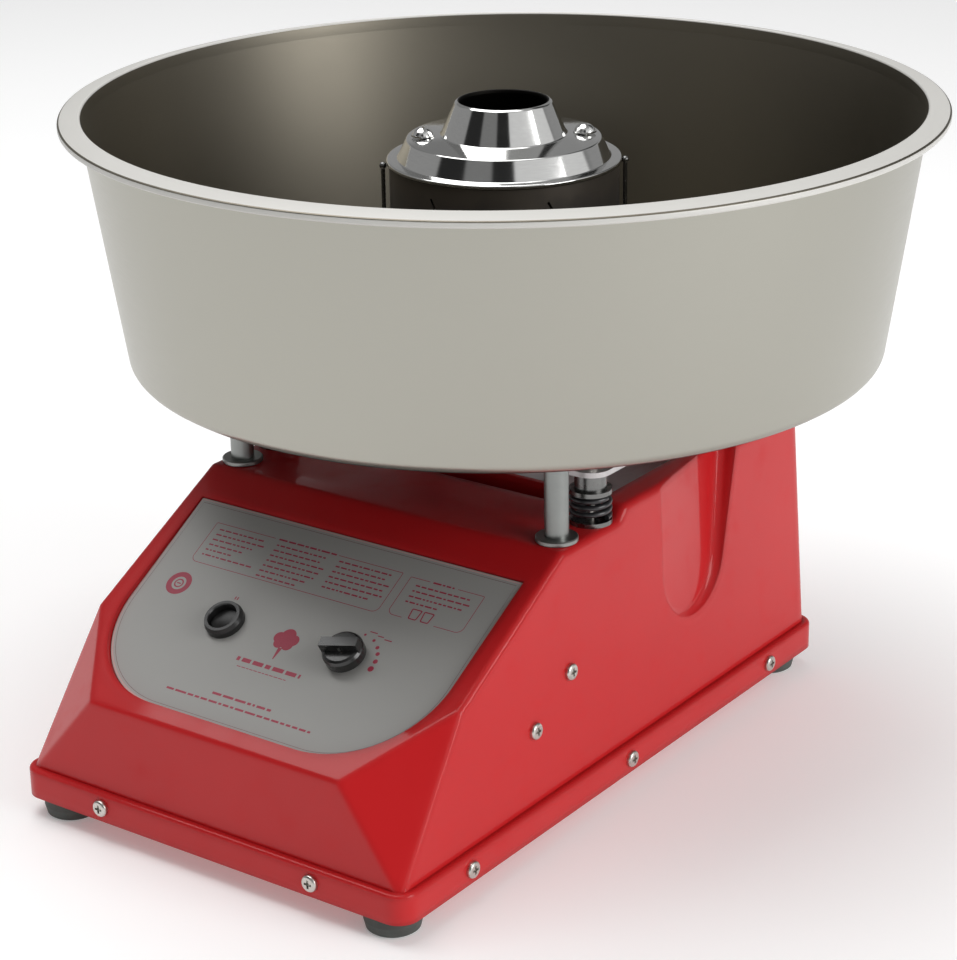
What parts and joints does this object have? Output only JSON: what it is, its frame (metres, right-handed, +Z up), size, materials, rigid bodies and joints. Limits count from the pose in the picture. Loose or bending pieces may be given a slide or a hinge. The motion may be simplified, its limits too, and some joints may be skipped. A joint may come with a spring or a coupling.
{
  "type": "cotton candy machine",
  "caption": "Tabletop cotton candy machine: sloped control base, spring-hung motor, spinning heated sugar head and a wide lift-off steel bowl.",
  "frame": {"origin": "on the table top, under the middle of the whole plan outline; the spin axis stands 18.3 mm behind it", "axes": "+Z up, +Y to the rear, the operator stands at -Y facing +Y"},
  "size_m": [0.4999, 0.5366, 0.368],
  "materials": {
    "red_shell": "high-gloss red moulded shell and tray",
    "foot_rubber": "dark grey rubber",
    "screw_steel": "bright zinc-plated steel",
    "galvanised": "galvanised sheet steel",
    "post_aluminium": "turned satin aluminium",
    "mount_steel": "turned steel",
    "spring_black": "black phosphated spring wire",
    "motor_paint": "light grey enamelled motor casing",
    "core_steel": "laminated electrical steel",
    "winding_copper": "enamelled copper wire",
    "insulator": "brown phenolic moulding",
    "carbon": "pressed carbon",
    "ring_brass": "turned brass",
    "cover_steel": "drawn stainless steel",
    "head_aluminium": "polished spun aluminium",
    "cap_screw_steel": "polished steel",
    "band_steel": "heat-darkened steel band",
    "heater_steel": "heat-tinted element sheath",
    "ceramic_white": "unglazed ceramic",
    "bowl_steel": "satin stainless steel",
    "grommet_rubber": "black rubber",
    "plate_silver": "matt silver printed label plate",
    "black_plastic": "black moulded plastic",
    "rocker_plastic": "black moulded plastic",
    "control_metal": "plated metal",
    "board_green": "circuit board"
  },
  "bodies": {
    "base": {"body_shell": "red_shell", "base_tray": "red_shell", "foot_front_left": "foot_rubber", "foot_front_right": "foot_rubber", "foot_rear_left": "foot_rubber", "foot_rear_right": "foot_rubber", "foot_screws": "screw_steel", "skirt_screws": "screw_steel", "side_screws": "screw_steel", "well_plate": "galvanised", "well_screws": "screw_steel", "post_front_left": "post_aluminium", "post_front_right": "post_aluminium", "post_rear_left": "post_aluminium", "post_rear_right": "post_aluminium", "post_bolts": "screw_steel", "mount_lower_washers": "mount_steel", "front_springs": "spring_black", "rear_springs": "spring_black", "mount_bolts": "screw_steel", "control_plate": "plate_silver", "switch_frame": "black_plastic", "speed_control": "control_metal", "speed_control_nut": "screw_steel", "control_bracket": "galvanised", "power_board": "board_green", "motor_capacitor": "black_plastic", "cable_gland": "black_plastic", "gland_nuts": "black_plastic"},
    "motor_unit": {"mount_sleeves": "mount_steel", "motor_carrier": "galvanised", "motor_housing": "motor_paint", "motor_end_shield": "motor_paint", "motor_screws": "screw_steel", "shaft_bearings": "mount_steel", "stator_core": "core_steel", "stator_windings": "winding_copper", "brush_holder": "insulator", "brushes": "carbon", "ring_cover": "cover_steel"},
    "spinner": {"motor_shaft": "mount_steel", "rotor_core": "core_steel", "cooling_fan": "black_plastic", "ring_sleeve": "insulator", "slip_rings": "ring_brass", "head_base": "head_aluminium", "head_nut": "screw_steel", "sugar_cup": "head_aluminium", "heating_rings": "heater_steel", "heater_combs": "ceramic_white", "head_band": "band_steel", "head_cap": "head_aluminium", "cap_screws": "cap_screw_steel", "head_rods": "mount_steel"},
    "bowl": {"bowl": "bowl_steel", "bowl_grommets": "grommet_rubber"},
    "rocker": {"switch_rocker": "rocker_plastic"},
    "knob": {"speed_knob": "black_plastic", "speed_control_shaft": "control_metal"}
  },
  "joints": [
    {"name": "motor_suspension", "type": "slide", "parent": "base", "child": "motor_unit", "axis": [0, 0, 1], "range_m": [-0.0025, 0], "stiffness_N_per_m": 20000, "springref_m": 0.004, "deforming": ["front_springs", "rear_springs"]},
    {"name": "head_spin", "type": "hinge", "parent": "motor_unit", "child": "spinner", "pos_m": [0, 0.0183, 0.3], "axis": [0, 0, 1], "continuous": true},
    {"name": "bowl_lift", "type": "slide", "parent": "base", "child": "bowl", "axis": [0, 0, 1], "range_m": [0, 0.16]},
    {"name": "power_switch", "type": "hinge", "parent": "base", "child": "rocker", "pos_m": [-0.0425, -0.19111, 0.11161], "axis": [1, 0, 0], "range_deg": [0, 16]},
    {"name": "speed_knob_turn", "type": "hinge", "parent": "base", "child": "knob", "pos_m": [0.0425, -0.19488, 0.11809], "axis": [0, -0.503, 0.8643], "range_deg": [-23, 90]}
  ]
}
